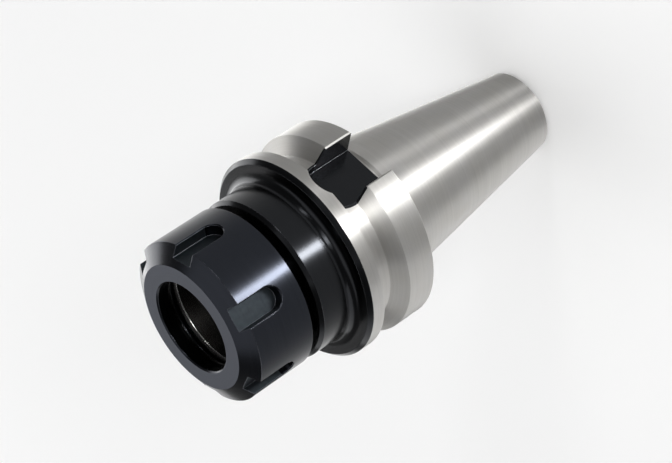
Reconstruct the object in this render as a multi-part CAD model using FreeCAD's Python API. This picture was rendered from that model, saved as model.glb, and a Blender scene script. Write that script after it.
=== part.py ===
import FreeCAD, Part
import math
import os

# Collet chuck holder with a 7/24 steep taper shank, in millimetres.
# The origin is the centre of the shank's small end face, and +Z runs along the spindle axis to the
# clamping nut. The two drive keyways face -Y and +Y.
#
# Two pieces: the turned holder body (shank, flange, neck and threaded nose in one) and the clamping
# nut that screws onto the nose. Depths along the axis are measured from the gauge line, which is the
# plane where the taper has its gauge diameter, unless a name says otherwise.

# --- shank: 7/24 taper -------------------------------------------------------------------------
TAPER = 7.0 / 24.0             # loss of diameter per unit of length
GAUGE_DIA = 44.45              # taper diameter at the gauge line
SHANK_LENGTH = 65.4            # gauge line to the small end face
SHANK_END_CHAMFER = 1.0
UNDERCUT_DEPTH = 0.7           # turned relief between the taper and the flange

# --- stud socket in the small end ---------------------------------------------------------------
PILOT_DIA = 17.0               # locates the retention stud
PILOT_DEPTH = 5.0
STUD_CORE_DIA = 14.0           # M16 thread, modelled at its core
STUD_DEPTH = 30.0              # small end face to the end of the thread
THROUGH_DIA = 10.0             # coolant way between the socket and the collet pocket

# --- flange with gripper groove -----------------------------------------------------------------
FLANGE_DIA = 63.0
FLANGE_REAR = 2.0              # gauge line to the flange's rear face
FLANGE_FRONT = 27.0            # gauge line to the flange's front face
GROOVE_CENTRE = 16.6           # gauge line to the middle of the gripper groove
GROOVE_WIDTH = 10.0            # at the flange's outer diameter
GROOVE_DEPTH = 5.0
GROOVE_ANGLE = 60.0            # between the groove's flanks
FLANGE_REAR_CHAMFER = 0.5
FLANGE_FRONT_CHAMFER = 1.2

# --- drive keyways ------------------------------------------------------------------------------
KEYWAY_WIDTH = 16.1
KEYWAY_FLOOR = 22.6            # axis to the flat floor
KEYWAY_END = 23.2              # gauge line to the crown of the round end
KEYWAY_CHAMFER = 0.5

# --- neck ---------------------------------------------------------------------------------------
NECK_DIA = 50.0
NECK_FRONT = 39.0              # gauge line to the shoulder
NECK_ROOT_FILLET = 2.7
NECK_EDGE_CHAMFER = 1.0

# --- threaded nose and collet pocket ------------------------------------------------------------
THREAD_DIA = 40.0              # M40 x 1.5, modelled at its crest
THREAD_CLEARANCE = 0.05        # radial, between the nose and the nut
THREAD_RELIEF_DIA = 37.4
THREAD_RELIEF_WIDTH = 3.2
NOSE_FRONT = 56.2              # gauge line to the nose's end face
NOSE_CHAMFER = 1.5
POCKET_DIA = 33.0              # at the nose's end face
POCKET_HALF_ANGLE = 8.0
POCKET_MOUTH_CHAMFER = 0.7
POCKET_CONE_DEPTH = 34.0
SHANK_BORE_DIA = 23.0          # room for a cutter's shank behind the collet
SHANK_BORE_DEPTH = 52.0        # from the nose's end face

# --- clamping nut -------------------------------------------------------------------------------
NUT_DIA = 50.0
NUT_LENGTH = 22.5
NUT_GAP = 2.9                  # shoulder to the nut's rear face
NUT_FACE_DIA = 39.0            # flat ring left by the front chamfer
NUT_CHAMFER_ANGLE = 30.0       # between the chamfer and the end face
NUT_REAR_CHAMFER = 0.6
MOUTH_DIA = 28.0
MOUTH_CHAMFER = 0.4
MOUTH_LAND = 4.0               # front face to the end of the cylindrical mouth
PRESS_CONE_ANGLE = 30.0        # half angle of the cone that presses on the collet
PRESS_CONE_DEPTH = 5.4         # front face to the end of the cone
RING_GROOVE_DIA = 33.6         # takes the collet's front rim
RING_DEPTH = 6.4               # front face to the extraction ring
RING_WIDTH = 1.1
RING_DIA = 31.8
RING_OFFSET = 0.6              # the extraction ring is eccentric

# --- wrench slots in the nut --------------------------------------------------------------------
SLOT_COUNT = 6
SLOT_WIDTH = 7.0
SLOT_LENGTH = 15.9             # from the front face to the crown of the round end
SLOT_DEPTH = 3.5
SLOT_CHAMFER = 0.3
SLOT_ANGLE = -8.0              # where the nut stands on its thread

# --- places along the axis, from the small end face ----------------------------------------------
GAUGE_Z = SHANK_LENGTH
FLANGE_REAR_Z = GAUGE_Z + FLANGE_REAR
FLANGE_FRONT_Z = GAUGE_Z + FLANGE_FRONT
GROOVE_Z = GAUGE_Z + GROOVE_CENTRE
NECK_FRONT_Z = GAUGE_Z + NECK_FRONT
NOSE_FRONT_Z = GAUGE_Z + NOSE_FRONT
NUT_REAR_Z = NECK_FRONT_Z + NUT_GAP
NUT_FRONT_Z = NUT_REAR_Z + NUT_LENGTH

OVERCUT = 1.0                  # how far a cutting tool runs past the surface that it opens
AXIS = FreeCAD.Vector(0, 0, 1)
ORIGIN = FreeCAD.Vector(0, 0, 0)


def point(radius, z):
    """A point of a turned outline."""
    return FreeCAD.Vector(radius, 0, z)


def corner_edges(before, corner, after, blend, size):
    """The start, the end and the edge of a chamfered or rounded corner of an outline."""
    back = (before - corner).normalize()
    on = (after - corner).normalize()
    if blend == "chamfer":
        start = corner + back * size
        end = corner + on * size
        return start, end, Part.LineSegment(start, end).toShape()
    half = back.getAngle(on) / 2
    reach = size / math.tan(half)
    start = corner + back * reach
    end = corner + on * reach
    middle = corner + (back + on).normalize() * (size / math.sin(half) - size)
    return start, end, Part.Arc(start, middle, end).toShape()


def turned(outline):
    """Revolve a closed outline about the axis.

    Each corner is (radius, z), with a blend and its size added where the corner is cut: "chamfer"
    takes size off both legs, and "round" is an arc of that radius.
    """
    corners = [point(*corner[:2]) for corner in outline]
    edges = []
    first = None
    last = None
    for index, corner in enumerate(corners):
        start = corner
        end = corner
        blend_edge = None
        if len(outline[index]) > 2:
            after = corners[(index + 1) % len(corners)]
            start, end, blend_edge = corner_edges(corners[index - 1], corner, after, *outline[index][2:])
        if last is not None:
            edges.append(Part.LineSegment(last, start).toShape())
        if blend_edge is not None:
            edges.append(blend_edge)
        if first is None:
            first = start
        last = end
    edges.append(Part.LineSegment(last, first).toShape())
    return Part.Face(Part.Wire(edges)).revolve(ORIGIN, AXIS, 360)


def milled_slot(width, floor, top, crown_z, mouth_z):
    """Cutter for a radial slot on the -Y side: flat floor, parallel walls and one round end."""
    radius = width / 2
    inward = 1 if mouth_z > crown_z else -1
    centre_z = crown_z + inward * radius
    low_z = min(centre_z, mouth_z)
    straight = Part.makeBox(width, top - floor, abs(mouth_z - centre_z), FreeCAD.Vector(-radius, -top, low_z))
    round_end = Part.makeCylinder(radius, top - floor, FreeCAD.Vector(0, -top, centre_z), FreeCAD.Vector(0, 1, 0))
    return straight.fuse(round_end).removeSplitter()


def turned_to(shape, angle):
    """A copy of a shape, turned about the axis."""
    copy = shape.copy()
    copy.rotate(ORIGIN, AXIS, angle)
    return copy


def slot_rims(solid, cutter, radius, low_z, high_z):
    """The edges where a slot's walls meet the cylinder of that radius, between two heights."""
    reach = cutter.BoundBox
    rims = []
    for edge in solid.Edges:
        middle = edge.valueAt((edge.FirstParameter + edge.LastParameter) / 2)
        on_cylinder = all(abs(math.hypot(v.X, v.Y) - radius) < 1e-4 for v in edge.Vertexes)
        in_heights = low_z < middle.z < high_z
        runs_along = abs(edge.BoundBox.ZLength) > 1e-3
        if on_cylinder and in_heights and runs_along and reach.isInside(middle):
            rims.append(edge)
    return rims


def holder_blank():
    """Shank, flange, neck and nose as they leave the lathe, without bores and keyways."""
    gauge_r = GAUGE_DIA / 2
    small_r = gauge_r - SHANK_LENGTH * TAPER / 2
    undercut_r = gauge_r - UNDERCUT_DEPTH
    flange_r = FLANGE_DIA / 2
    root_r = flange_r - GROOVE_DEPTH
    neck_r = NECK_DIA / 2
    relief_r = THREAD_RELIEF_DIA / 2
    flank = GROOVE_DEPTH * math.tan(math.radians(GROOVE_ANGLE / 2))
    return turned([
        (0, 0),
        (small_r, 0, "chamfer", SHANK_END_CHAMFER),
        (gauge_r, GAUGE_Z),
        (undercut_r, GAUGE_Z + UNDERCUT_DEPTH),
        (undercut_r, FLANGE_REAR_Z),
        (flange_r, FLANGE_REAR_Z, "chamfer", FLANGE_REAR_CHAMFER),
        (flange_r, GROOVE_Z - GROOVE_WIDTH / 2),
        (root_r, GROOVE_Z - GROOVE_WIDTH / 2 + flank),
        (root_r, GROOVE_Z + GROOVE_WIDTH / 2 - flank),
        (flange_r, GROOVE_Z + GROOVE_WIDTH / 2),
        (flange_r, FLANGE_FRONT_Z, "chamfer", FLANGE_FRONT_CHAMFER),
        (neck_r, FLANGE_FRONT_Z, "round", NECK_ROOT_FILLET),
        (neck_r, NECK_FRONT_Z, "chamfer", NECK_EDGE_CHAMFER),
        (relief_r, NECK_FRONT_Z),
        (relief_r, NECK_FRONT_Z + THREAD_RELIEF_WIDTH),
        (THREAD_DIA / 2, NECK_FRONT_Z + THREAD_RELIEF_WIDTH),
        (THREAD_DIA / 2, NOSE_FRONT_Z, "chamfer", NOSE_CHAMFER),
        (0, NOSE_FRONT_Z),
    ])


def stud_socket():
    """Cutter for the pilot, the stud's thread and the coolant way."""
    pilot = Part.makeCylinder(PILOT_DIA / 2, PILOT_DEPTH + OVERCUT, FreeCAD.Vector(0, 0, -OVERCUT))
    thread = Part.makeCylinder(STUD_CORE_DIA / 2, STUD_DEPTH)
    way = Part.makeCylinder(THROUGH_DIA / 2, NOSE_FRONT_Z)
    return pilot.fuse([thread, way])


def collet_pocket():
    """Cutter for the collet's cone, its mouth chamfer and the bore behind it."""
    mouth_r = POCKET_DIA / 2
    slope = math.tan(math.radians(POCKET_HALF_ANGLE))
    cone_end_r = mouth_r - POCKET_CONE_DEPTH * slope
    bore_r = min(SHANK_BORE_DIA / 2, cone_end_r)
    chamfer_r = mouth_r + POCKET_MOUTH_CHAMFER
    bore_end_z = NOSE_FRONT_Z - SHANK_BORE_DEPTH
    return turned([
        (0, bore_end_z),
        (bore_r, bore_end_z),
        (bore_r, NOSE_FRONT_Z - POCKET_CONE_DEPTH),
        (cone_end_r, NOSE_FRONT_Z - POCKET_CONE_DEPTH),
        (mouth_r - POCKET_MOUTH_CHAMFER * slope, NOSE_FRONT_Z - POCKET_MOUTH_CHAMFER),
        (chamfer_r, NOSE_FRONT_Z),
        (chamfer_r, NOSE_FRONT_Z + OVERCUT),
        (0, NOSE_FRONT_Z + OVERCUT),
    ])


def holder_body():
    """The holder's turned body with its two drive keyways."""
    body = holder_blank().cut([stud_socket(), collet_pocket()])
    keyway = milled_slot(KEYWAY_WIDTH, KEYWAY_FLOOR, FLANGE_DIA / 2 + OVERCUT, GAUGE_Z + KEYWAY_END, GAUGE_Z)
    keyways = [turned_to(keyway, angle) for angle in (0, 180)]
    body = body.cut(keyways)
    rims = []
    for cutter in keyways:
        rims += slot_rims(body, cutter, FLANGE_DIA / 2, FLANGE_REAR_Z, GROOVE_Z)
    return body.makeChamfer(KEYWAY_CHAMFER, rims)


def nut_blank():
    """The nut's turned outside, solid."""
    nut_r = NUT_DIA / 2
    face_r = NUT_FACE_DIA / 2
    chamfer_length = (nut_r - face_r) * math.tan(math.radians(NUT_CHAMFER_ANGLE))
    return turned([
        (0, NUT_REAR_Z),
        (nut_r, NUT_REAR_Z, "chamfer", NUT_REAR_CHAMFER),
        (nut_r, NUT_FRONT_Z - chamfer_length),
        (face_r, NUT_FRONT_Z),
        (0, NUT_FRONT_Z),
    ])


def nut_bores():
    """Cutters for the mouth, the pressing cone, the eccentric extraction ring and the thread."""
    mouth_r = MOUTH_DIA / 2
    cone_end_r = mouth_r + (PRESS_CONE_DEPTH - MOUTH_LAND) * math.tan(math.radians(PRESS_CONE_ANGLE))
    groove_r = RING_GROOVE_DIA / 2
    thread_r = THREAD_DIA / 2 + THREAD_CLEARANCE
    ring_z = NUT_FRONT_Z - RING_DEPTH
    thread_end_z = ring_z - RING_WIDTH
    lead = THREAD_CLEARANCE + NUT_REAR_CHAMFER
    front = turned([
        (0, ring_z),
        (groove_r, ring_z),
        (groove_r, NUT_FRONT_Z - PRESS_CONE_DEPTH),
        (cone_end_r, NUT_FRONT_Z - PRESS_CONE_DEPTH),
        (mouth_r, NUT_FRONT_Z - MOUTH_LAND),
        (mouth_r, NUT_FRONT_Z - MOUTH_CHAMFER),
        (mouth_r + MOUTH_CHAMFER, NUT_FRONT_Z),
        (mouth_r + MOUTH_CHAMFER, NUT_FRONT_Z + OVERCUT),
        (0, NUT_FRONT_Z + OVERCUT),
    ])
    ring = Part.makeCylinder(RING_DIA / 2, RING_WIDTH, FreeCAD.Vector(RING_OFFSET, 0, thread_end_z))
    rear = turned([
        (0, NUT_REAR_Z - OVERCUT),
        (thread_r + lead, NUT_REAR_Z - OVERCUT),
        (thread_r + lead, NUT_REAR_Z),
        (thread_r, NUT_REAR_Z + lead),
        (thread_r, thread_end_z),
        (0, thread_end_z),
    ])
    return [front, ring, rear]


def clamping_nut():
    """The nut with its wrench slots, open to the front."""
    nut = nut_blank().cut(nut_bores())
    nut_r = NUT_DIA / 2
    slot = milled_slot(SLOT_WIDTH, nut_r - SLOT_DEPTH, nut_r + OVERCUT,
                       NUT_FRONT_Z - SLOT_LENGTH, NUT_FRONT_Z + OVERCUT)
    cutters = [turned_to(slot, index * 360 / SLOT_COUNT) for index in range(SLOT_COUNT)]
    nut = nut.cut(cutters)
    rims = []
    for cutter in cutters:
        rims += slot_rims(nut, cutter, nut_r, NUT_REAR_Z, NUT_FRONT_Z)
    nut = nut.makeChamfer(SLOT_CHAMFER, rims)
    return turned_to(nut, 90 + SLOT_ANGLE)


os.makedirs("parts", exist_ok=True)
PIECES = {
    "holder_body": holder_body(),
    "clamping_nut": clamping_nut(),
}
for name, solid in PIECES.items():
    solid.exportStep("parts/" + name + ".step")
    print(name, "valid", solid.isValid(), "solids", len(solid.Solids), "volume", round(solid.Volume, 1))
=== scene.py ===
# %% [markdown]
# # A collet chuck holder under studio light
#
# The real thing is a milling machine's tool holder: a steep steel taper that the spindle
# pulls home, a flange that a tool changer grips, and a nut that squeezes a slotted collet.
# The solids come ready from the CAD frame, so this lesson is about their finish. We say what
# each surface is, how it was made in the workshop, and build that from shader nodes. Then we
# set up the floor, the lamps and the camera.

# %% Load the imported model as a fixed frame
import math

import bpy
from mathutils import Matrix, Vector


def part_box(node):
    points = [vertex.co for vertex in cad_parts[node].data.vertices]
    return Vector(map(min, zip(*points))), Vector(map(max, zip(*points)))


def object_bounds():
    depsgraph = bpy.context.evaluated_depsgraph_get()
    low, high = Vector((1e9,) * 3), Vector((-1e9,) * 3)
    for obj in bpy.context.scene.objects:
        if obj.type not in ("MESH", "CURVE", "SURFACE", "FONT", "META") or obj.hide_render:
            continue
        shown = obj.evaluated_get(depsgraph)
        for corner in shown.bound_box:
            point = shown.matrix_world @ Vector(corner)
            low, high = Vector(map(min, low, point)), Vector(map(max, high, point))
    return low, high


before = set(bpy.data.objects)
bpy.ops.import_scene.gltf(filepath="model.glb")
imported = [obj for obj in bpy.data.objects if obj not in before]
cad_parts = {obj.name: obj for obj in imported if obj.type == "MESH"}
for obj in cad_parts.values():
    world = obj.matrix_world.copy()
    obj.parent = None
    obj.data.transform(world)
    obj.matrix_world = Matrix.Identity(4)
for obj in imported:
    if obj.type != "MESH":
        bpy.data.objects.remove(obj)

cad_low, cad_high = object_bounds()
MM = 0.001
print("nodes:", sorted(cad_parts))
print("box in mm:", [round(side / MM, 2) for side in cad_high - cad_low])

# %% [markdown]
# ## Sizes that the finish has to know
#
# Ground and blackened zones meet at set heights on the holder. We read what we can from the
# frame: the nut's box gives its front face. The rest are workshop sizes in millimetres, written
# once here and used in the masks below. Heights count from the shank's small end.

# %% Heights and radii in millimetres
NUT_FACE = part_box("clamping_nut")[1].z / MM
SHANK_END = 66.0
GROUND_END = 91.1
STUD_SOCKET_RADIUS = 9.5
FLANGE_INNER_RADIUS = 19.0
GROOVE_LOW = 77.1
GROOVE_HIGH = 86.9
GROOVE_RIM_RADIUS = 31.2
KEYWAY_HALF_WIDTH = 8.05
KEYWAY_FLOOR = 22.6
KEYWAY_CROWN = 80.55
KEYWAY_CHAMFER = 0.7
KEYWAY_LOW = 66.6
KEYWAY_HIGH = 89.6
SEAT_LOW = 60.0
SEAT_HIGH = 121.2
POCKET_RADIUS = 17.4
RIM_LOW = 120.7
RIM_INNER_RADIUS = 16.0
RIM_OUTER_RADIUS = 17.6
SLOT_INNER_RADIUS = 18.5
SLOT_FLOOR_RADIUS = 24.8
print("nut's front face at", round(NUT_FACE, 2), "mm, ground steel up to", GROUND_END, "mm")

# %% [markdown]
# ## Two small helpers for shader nodes
#
# A colour picked on a screen is an sRGB hex value, but a render works in linear light, so one
# function turns the one into the other. A second function adds a node, gives it its settings
# and joins its inputs, because a node tree written by hand is mostly those three steps.

# %% Colour and node helpers
def linear(hex_colour):
    """sRGB hex such as '#8a8a84' as linear red, green, blue and alpha."""
    channels = [int(hex_colour[i:i + 2], 16) / 255 for i in (1, 3, 5)]
    return tuple(c / 12.92 if c <= 0.04045 else ((c + 0.055) / 1.055) ** 2.4 for c in channels) + (1,)


def add(tree, kind, inputs=(), **settings):
    """Adds one node with its settings, and links or sets its inputs by name or number."""
    made = tree.nodes.new(kind)
    for name, value in settings.items():
        setattr(made, name, value)
    for name, value in dict(inputs).items():
        socket = made.inputs[name]
        if isinstance(value, bpy.types.NodeSocket):
            tree.links.new(value, socket)
        else:
            socket.default_value = value
    return made


print("a mid grey in linear light:", [round(c, 3) for c in linear("#808080")])

# %% [markdown]
# ## Masks from the workshop drawing
#
# Different zones of one steel body were finished in different ways, yet it is one piece of
# metal. Cutting the mesh up would be one way to colour it, but a mask is truer: it leaves the
# solid alone and says, in millimetres from the drawing, where the grinding wheel went. The
# functions below read the Object coordinates, which are the frame's own metres.

# %% Position and mask helpers
def position(tree):
    """Sockets for x, y, height and distance from the axis, all in millimetres."""
    place = add(tree, "ShaderNodeTexCoord").outputs["Object"]
    scaled = add(tree, "ShaderNodeVectorMath", {0: place, "Scale": 1 / MM}, operation="SCALE").outputs[0]
    parts = add(tree, "ShaderNodeSeparateXYZ", {0: scaled})
    flat = add(tree, "ShaderNodeVectorMath", {0: scaled, 1: (1, 1, 0)}, operation="MULTIPLY").outputs[0]
    radius = add(tree, "ShaderNodeVectorMath", {0: flat}, operation="LENGTH").outputs["Value"]
    return parts.outputs[0], parts.outputs[1], parts.outputs[2], radius


def rises(tree, value, at, width=0.06):
    """0 where value is below the size, 1 where it is above, with a soft step of that width."""
    return add(tree, "ShaderNodeMapRange", {
        "Value": value, "From Min": at - width / 2, "From Max": at + width / 2}).outputs[0]


def between(tree, value, low, high, width=0.06):
    """1 where value lies between two sizes, and 0 outside them."""
    above = rises(tree, value, low, width)
    below = add(tree, "ShaderNodeMapRange", {
        "Value": value, "From Min": high - width / 2, "From Max": high + width / 2,
        "To Min": 1.0, "To Max": 0.0}).outputs[0]
    return both(tree, above, below)


def both(tree, *masks):
    """The product of several masks: 1 only where all of them are 1."""
    result = masks[0]
    for mask in masks[1:]:
        result = add(tree, "ShaderNodeMath", {0: result, 1: mask}, operation="MULTIPLY").outputs[0]
    return result


def mixed(tree, mask, dark, light):
    """One of two numbers, or of two colours, as the mask goes from 0 to 1."""
    if isinstance(dark, (int, float)) or getattr(dark, "type", "") == "VALUE":
        return add(tree, "ShaderNodeMix", {0: mask, 2: dark, 3: light}, data_type="FLOAT").outputs[0]
    return add(tree, "ShaderNodeMix", {0: mask, 6: dark, 7: light}, data_type="RGBA").outputs[2]


# %% [markdown]
# ## The marks that turning and grinding leave
#
# The tool or wheel went round the axis, so the marks are fine rings. They do three things to
# light: they tint it a little from ring to ring, they scatter it more across the rings than
# along them, and close up they give a bump. A noise whose coordinates are the radius and the
# height, both scaled up, and x and y, hardly scaled at all, comes out as such broken rings on
# cones, cylinders and faces alike. Real marks are about 0.1 mm apart. They are drawn 0.5 mm
# apart here, because finer ones don't show at this distance.

# %% Ring marks and soft clouds
RING_SPACING = 0.5
RING_LENGTH = 26.0
CLOUD_SIZE = 9.0


def ring_marks(tree, x, y, height, radius, spacing=RING_SPACING, length=RING_LENGTH):
    """Broken rings round the axis, from 0 to 1."""
    vector = add(tree, "ShaderNodeCombineXYZ")
    for place, value, size in ((0, radius, spacing), (1, height, spacing), (2, x, length)):
        scaled = add(tree, "ShaderNodeMath", {0: value, 1: size}, operation="DIVIDE").outputs[0]
        tree.links.new(scaled, vector.inputs[place])
    along = add(tree, "ShaderNodeMath", {0: y, 1: length}, operation="DIVIDE").outputs[0]
    return add(tree, "ShaderNodeTexNoise", {
        "Vector": vector.outputs[0], "W": along, "Scale": 1.0, "Detail": 3.0,
        "Roughness": 0.6}, noise_dimensions="4D").outputs[0]


def clouds(tree, size=CLOUD_SIZE, detail=2.0):
    """Soft blotches of a size in millimetres, from 0 to 1."""
    place = add(tree, "ShaderNodeTexCoord").outputs["Object"]
    return add(tree, "ShaderNodeTexNoise", {
        "Vector": place, "Scale": 1 / (size * MM), "Detail": detail}).outputs[0]


# %% [markdown]
# ## Edges that catch the light
#
# No machined edge is a true corner: a file or a tumbling bowl leaves it about 0.2 mm round, and
# handling rubs the black off it first. Modelling such a round on every edge costs thousands of
# faces. Cycles has a Bevel node that bends the normal near an edge, so the edge shines as a
# round one does. Where the bent normal leaves the true one, the surface is near an edge, and
# that same difference makes the mask for wear. The shader at the end joins it all: bare metal,
# scattered across the rings, with a bump a few thousandths of a millimetre deep. On a flat face
# such rings would draw a fan of light, which a tumbled face doesn't show, so a mask can swap
# them for one even lay.

# %% Rounded edges and their wear mask
EDGE_ROUND = 0.22
MARK_DEPTH = 0.004
EVEN_LAY = (0.96, -0.28, 0.0)


def soft_edges(tree):
    """The normal with rounded edges, and a mask that is 1 on the edges."""
    bevel = add(tree, "ShaderNodeBevel", {"Radius": EDGE_ROUND * MM}, samples=6).outputs[0]
    plain = add(tree, "ShaderNodeNewGeometry").outputs["Normal"]
    same = add(tree, "ShaderNodeVectorMath", {0: bevel, 1: plain}, operation="DOT_PRODUCT").outputs["Value"]
    mask = add(tree, "ShaderNodeMapRange", {
        "Value": same, "From Min": 0.97, "From Max": 0.80, "To Min": 0.0, "To Max": 1.0}).outputs[0]
    return bevel, mask


def finish_steel(tree, colour, roughness, height_map, normal, anisotropy, even=0.0):
    """The shader itself: bare metal whose lay runs round the axis, with a shallow bump."""
    bump = add(tree, "ShaderNodeBump", {
        "Strength": 1.0, "Distance": MARK_DEPTH * MM, "Height": height_map, "Normal": normal}).outputs[0]
    round_axis = add(tree, "ShaderNodeTangent", direction_type="RADIAL", axis="Z").outputs[0]
    lay = add(tree, "ShaderNodeMix", {0: even, 4: round_axis, 5: EVEN_LAY}, data_type="VECTOR").outputs[1]
    steel = add(tree, "ShaderNodeBsdfPrincipled", {
        "Base Color": colour, "Roughness": roughness, "Metallic": 1.0, "Normal": bump,
        "Anisotropic": anisotropy, "Anisotropic Rotation": 0.25, "Tangent": lay})
    add(tree, "ShaderNodeOutputMaterial", {"Surface": steel.outputs[0]})


def new_material(name):
    """An empty node material."""
    material = bpy.data.materials.new(name)
    material.use_nodes = True
    material.node_tree.nodes.clear()
    return material


# %% [markdown]
# ## The holder: ground steel that keeps its black skin where nothing was ground
#
# The forging is turned, hardened and dipped in hot black oxide, which colours the skin but
# adds no thickness. Then the taper, the flange's rim and the gripper's groove are ground to
# size, and that takes the black off. So bright and black meet in sharp lines: just behind the
# flange's front chamfer, and at the rims of the two driving keyways. The collet's seat is
# ground steel too, but its colour is painted darker as painted shade for the deep bore, while
# the nose's rim chamfer keeps the bright ground colour.

# %% Holder material
BRIGHT = linear("#d0cfce")
BRIGHT_WARM = linear("#c9c7c2")
BLACK_OXIDE = linear("#242527")
BLACK_WORN = linear("#77797d")
# Painted shade: the collet's seat gets a darker steel colour than ground steel, standing in for the shade
# in its deep bore.
SEAT_PAINTED_SHADE = linear("#7d7c79")
BLACK_ROUGH = 0.17
GROUND_ROUGH = 0.55
SEAT_ROUGH = 0.20
MARK_ROUGH = 0.08
BLACK_GRAIN = 0.30
GROUND_GRAIN = 0.97


def holder_finish():
    """Ground steel outside, black oxide on the front, in the keyways and in the socket, and painted shade
    in the collet's seat.
    """
    material = new_material("ground_and_black_oxide_steel")
    tree = material.node_tree
    x, y, height, radius = position(tree)
    rings = ring_marks(tree, x, y, height, radius)
    patches = clouds(tree)
    normal, edge = soft_edges(tree)

    side = add(tree, "ShaderNodeMath", {0: x}, operation="ABSOLUTE").outputs[0]
    depth = add(tree, "ShaderNodeMath", {0: y}, operation="ABSOLUTE").outputs[0]
    below_crown = add(tree, "ShaderNodeMath", {
        0: add(tree, "ShaderNodeMath", {0: height, 1: KEYWAY_CROWN}, operation="SUBTRACT").outputs[0],
        1: 0.0}, operation="MAXIMUM").outputs[0]
    reach = add(tree, "ShaderNodeVectorMath", {
        0: add(tree, "ShaderNodeCombineXYZ", {0: side, 1: below_crown}).outputs[0]},
        operation="LENGTH").outputs["Value"]
    in_groove = both(
        tree, between(tree, height, GROOVE_LOW, GROOVE_HIGH), between(tree, radius, -1, GROOVE_RIM_RADIUS))
    black_width = mixed(tree, in_groove, KEYWAY_HALF_WIDTH + 0.04, KEYWAY_HALF_WIDTH + KEYWAY_CHAMFER)
    over = add(tree, "ShaderNodeMath", {0: black_width, 1: reach}, operation="SUBTRACT").outputs[0]
    keyway = both(
        tree, rises(tree, over, 0.0), rises(tree, depth, KEYWAY_FLOOR - 0.15),
        between(tree, height, KEYWAY_LOW, KEYWAY_HIGH))
    shank = both(tree, between(tree, height, -1, SHANK_END), rises(tree, radius, STUD_SOCKET_RADIUS))
    flange = both(
        tree, between(tree, height, SHANK_END, GROUND_END, 0.12), rises(tree, radius, FLANGE_INNER_RADIUS))
    outside = add(tree, "ShaderNodeMath", {0: shank, 1: flange}, operation="ADD", use_clamp=True).outputs[0]
    ground = add(tree, "ShaderNodeMath", {
        0: outside, 1: keyway}, operation="SUBTRACT", use_clamp=True).outputs[0]
    seat_and_painted_shade = both(tree, between(tree, height, SEAT_LOW, SEAT_HIGH), between(tree, radius, -1, POCKET_RADIUS))

    bright = mixed(tree, patches, BRIGHT, BRIGHT_WARM)
    black = mixed(tree, edge, BLACK_OXIDE, BLACK_WORN)
    colour = mixed(tree, ground, black, bright)
    # Painted shade: the seat's colour is darkened because the bore lies deep; the rim below keeps the
    # bright colour.
    colour = mixed(tree, seat_and_painted_shade, colour, SEAT_PAINTED_SHADE)
    rim = both(
        tree, rises(tree, height, RIM_LOW), between(tree, radius, RIM_INNER_RADIUS, RIM_OUTER_RADIUS))
    colour = mixed(tree, rim, colour, BRIGHT)
    tone = add(tree, "ShaderNodeMapRange", {
        "Value": rings, "From Min": 0.3, "From Max": 0.7, "To Min": 0.94, "To Max": 1.04}).outputs[0]
    colour = add(tree, "ShaderNodeVectorMath", {0: colour, "Scale": tone}, operation="SCALE").outputs[0]

    rough = mixed(tree, ground, BLACK_ROUGH, GROUND_ROUGH)
    rough = mixed(tree, seat_and_painted_shade, rough, SEAT_ROUGH)
    rough = add(tree, "ShaderNodeMath", {
        0: rings, 1: MARK_ROUGH, 2: rough}, operation="MULTIPLY_ADD").outputs[0]
    grain = mixed(tree, ground, BLACK_GRAIN, GROUND_GRAIN)
    finish_steel(tree, colour, rough, rings, normal, anisotropy=grain)
    return material


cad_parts["holder_body"].data.materials.clear()
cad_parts["holder_body"].data.materials.append(holder_finish())
print("holder finished")

# %% [markdown]
# ## The nut: blued steel, turned and milled
#
# The nut is black oxide all over, with the faint blue that the bath leaves on alloy steel. Its
# cylinder was turned fine, so it's smooth round the axis. The six wrench slots were milled, so
# their floors carry a mottled, duller grey-green, and the front face was only faced and
# tumbled, which leaves it matt.

# %% Nut material
NUT_BLUED = linear("#26282d")
NUT_FACE_GREY = linear("#53565e")
SLOT_GREY = linear("#343a3d")
NUT_WORN = linear("#6c6e74")
NUT_ROUGH = 0.19
FACE_ROUGH = 0.60
SLOT_ROUGH = 0.50
MOTTLE_SIZE = 1.3


def nut_finish():
    """Blued steel with duller slot floors and a matt front face."""
    material = new_material("blued_steel")
    tree = material.node_tree
    x, y, height, radius = position(tree)
    rings = ring_marks(tree, x, y, height, radius)
    mottle = clouds(tree, MOTTLE_SIZE, 4.0)
    normal, edge = soft_edges(tree)
    facing = add(tree, "ShaderNodeSeparateXYZ", {0: add(tree, "ShaderNodeNewGeometry").outputs["Normal"]})
    upward = facing.outputs[2]
    upright = between(tree, upward, -0.2, 0.2)

    face = both(tree, rises(tree, upward, 0.95), rises(tree, height, NUT_FACE - 1.0))
    slot = both(tree, upright, between(tree, radius, SLOT_INNER_RADIUS, SLOT_FLOOR_RADIUS))
    colour = mixed(tree, face, NUT_BLUED, NUT_FACE_GREY)
    slot_colour = mixed(tree, mottle, NUT_BLUED, SLOT_GREY)
    colour = mixed(tree, slot, colour, slot_colour)
    colour = mixed(tree, edge, colour, NUT_WORN)
    tone = add(tree, "ShaderNodeMapRange", {
        "Value": rings, "From Min": 0.3, "From Max": 0.7, "To Min": 0.92, "To Max": 1.06}).outputs[0]
    colour = add(tree, "ShaderNodeVectorMath", {0: colour, "Scale": tone}, operation="SCALE").outputs[0]

    rough = mixed(tree, face, NUT_ROUGH, FACE_ROUGH)
    rough = mixed(tree, slot, rough, SLOT_ROUGH)
    rough = add(tree, "ShaderNodeMath", {
        0: rings, 1: MARK_ROUGH, 2: rough}, operation="MULTIPLY_ADD").outputs[0]
    height_map = mixed(tree, slot, rings, mottle)
    finish_steel(tree, colour, rough, height_map, normal, anisotropy=BLACK_GRAIN, even=face)
    return material


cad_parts["clamping_nut"].data.materials.clear()
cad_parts["clamping_nut"].data.materials.append(nut_finish())
print("nut finished")

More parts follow.
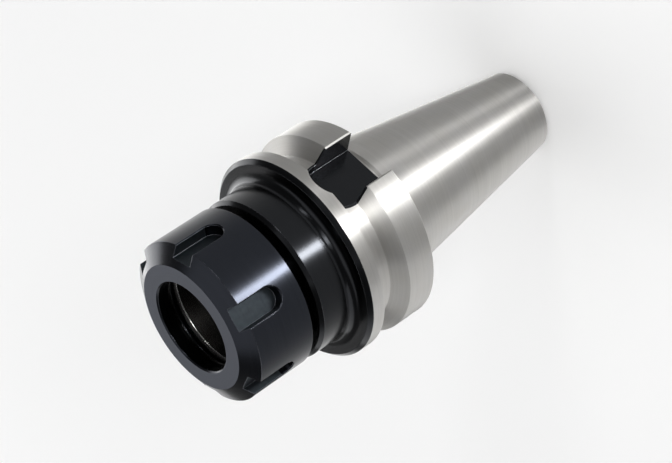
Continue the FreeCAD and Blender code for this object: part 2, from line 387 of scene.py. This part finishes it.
# %% [markdown]
# ## The floor
#
# A product table is pale, wide and matt, so that it throws light back up the steel and shows
# only a soft shadow. The holder stands on its small end. The floor is larger than any view. Its
# paint is lifted a little towards white wherever it is seen directly, mirrored or through glass,
# while the light that it gives to the steel stays that of the paint.

# %% Pale floor
FLOOR_HALF = 12.0
TABLE_WHITE = (0.90, 0.90, 0.90, 1)
TABLE_LIFT = 0.10


def pale_floor(level):
    """A wide flat sheet at that height, in matt white."""
    corners = [(-FLOOR_HALF, -FLOOR_HALF, level), (FLOOR_HALF, -FLOOR_HALF, level),
               (FLOOR_HALF, FLOOR_HALF, level), (-FLOOR_HALF, FLOOR_HALF, level)]
    mesh = bpy.data.meshes.new("floor")
    mesh.from_pydata(corners, [], [(0, 1, 2, 3)])
    floor = bpy.data.objects.new("floor", mesh)
    bpy.context.scene.collection.objects.link(floor)
    material = new_material("matt_white_table")
    tree = material.node_tree
    paint = add(tree, "ShaderNodeBsdfDiffuse", {"Color": TABLE_WHITE})
    ray = add(tree, "ShaderNodeLightPath")
    seen = add(tree, "ShaderNodeMath", {
        0: ray.outputs["Is Camera Ray"], 1: ray.outputs["Is Glossy Ray"]}, operation="ADD").outputs[0]
    seen = add(tree, "ShaderNodeMath", {
        0: seen, 1: ray.outputs["Is Transmission Ray"]}, operation="ADD", use_clamp=True).outputs[0]
    lift = add(tree, "ShaderNodeMath", {0: seen, 1: TABLE_LIFT}, operation="MULTIPLY").outputs[0]
    glow = add(tree, "ShaderNodeEmission", {"Color": (1, 1, 1, 1), "Strength": lift})
    surface = add(tree, "ShaderNodeAddShader", {0: paint.outputs[0], 1: glow.outputs[0]})
    add(tree, "ShaderNodeOutputMaterial", {"Surface": surface.outputs[0]})
    mesh.materials.append(material)
    return floor


floor = pale_floor(cad_low.z)
print("floor at", round(cad_low.z / MM, 3), "mm")

# %% [markdown]
# ## Studio light
#
# Polished cylinders are lit by what they mirror. Two wide softboxes behind the part give its
# sides their broad silver edges, a large dim one above fills the faces that look up, and two
# upright strips in front light the ground taper. A wall that is seen from above mirrors the
# table, so the thin bright line down the black nut and neck comes from a flat strip lamp that
# lies on the table. A lamp's strength is the brightness of its own face, where 1 is white, and
# no lamp shows in the picture itself.

# %% Lamps
AIM = Vector((0, 0, 75 * MM))
STRIP_LIFT = 3 * MM
AIR_GREY = (0.18, 0.18, 0.18, 1)


def lamp_box(name, width, tall, brightness):
    """A rectangular lamp of that size in metres, not yet placed."""
    lamp = bpy.data.lights.new(name, "AREA")
    lamp.shape = "RECTANGLE"
    lamp.size, lamp.size_y = width, tall
    lamp.energy = brightness * width * tall * 4
    box = bpy.data.objects.new(name, lamp)
    box.visible_camera = False
    bpy.context.scene.collection.objects.link(box)
    return box


def softbox(name, around, height_angle, distance, width, tall, brightness):
    """A lamp that faces the part from a direction round it. Angles in degrees, sizes in metres."""
    turned, raised = math.radians(around), math.radians(height_angle)
    direction = Vector((
        math.cos(turned) * math.cos(raised), math.sin(turned) * math.cos(raised), math.sin(raised)))
    box = lamp_box(name, width, tall, brightness)
    box.location = AIM + direction * distance
    box.rotation_mode = "QUATERNION"
    box.rotation_quaternion = (-direction).to_track_quat("-Z", "Y")


def table_strip(around, near, far, width, brightness):
    """A flat strip lamp that lies on the table and points up, on a line out from the axis."""
    turned = math.radians(around)
    middle = (near + far) / 2
    box = lamp_box("table_strip", far - near, width, brightness)
    box.location = (math.cos(turned) * middle, math.sin(turned) * middle, cad_low.z + STRIP_LIFT)
    box.rotation_euler = (math.pi, 0, turned)


softbox("tall_strip", around=-118, height_angle=28, distance=1.3, width=0.20, tall=0.9, brightness=10)
softbox("side_strip", around=-74, height_angle=20, distance=1.3, width=0.12, tall=0.7, brightness=6)
softbox("box_back_left", around=143, height_angle=13, distance=1.5, width=2.2, tall=0.85, brightness=1.2)
softbox("box_back_right", around=40, height_angle=12, distance=1.5, width=1.7, tall=0.8, brightness=2.4)
softbox("top_box", around=64, height_angle=86, distance=1.9, width=2.2, tall=2.2, brightness=0.9)
table_strip(around=-117.6, near=0.15, far=0.30, width=0.032, brightness=50)

world = bpy.data.worlds.new("studio_air")
bpy.context.scene.world = world
world.use_nodes = True
world.node_tree.nodes["Background"].inputs["Color"].default_value = AIR_GREY
world.node_tree.nodes["Background"].inputs["Strength"].default_value = 1.0

# %% [markdown]
# ## Camera
#
# A long lens, about 30 degrees above the table and turned well over, so that the tool's axis
# runs across the picture with the nut nearest. It aims at the axis, a little below the flange's
# middle. Distance is in metres, angles are in degrees, and the aim is in millimetres.

# %% Camera
LENS = 124.4
DISTANCE = 0.6572
VIEW_AROUND = -25.5
VIEW_HEIGHT = 29.87
VIEW_ROLL = -123.67
VIEW_AIM = Vector((-0.1, 0.05, 75.3)) * MM

turned, raised = math.radians(VIEW_AROUND), math.radians(VIEW_HEIGHT)
back = Vector((
    math.sin(turned) * math.cos(raised), -math.cos(turned) * math.cos(raised), math.sin(raised)))
camera_data = bpy.data.cameras.new("studio_camera")
camera_data.lens = LENS
camera_data.clip_start = 0.05
camera = bpy.data.objects.new("studio_camera", camera_data)
level = (-back).to_track_quat("-Z", "Y").to_matrix().to_4x4()
roll = Matrix.Rotation(math.radians(VIEW_ROLL), 4, "Z")
camera.matrix_world = Matrix.Translation(VIEW_AIM + back * DISTANCE) @ level @ roll
bpy.context.scene.collection.objects.link(camera)
bpy.context.scene.camera = camera
bpy.context.scene.view_settings.view_transform = "Standard"
print("camera at", [round(c / MM, 1) for c in camera.matrix_world.translation])
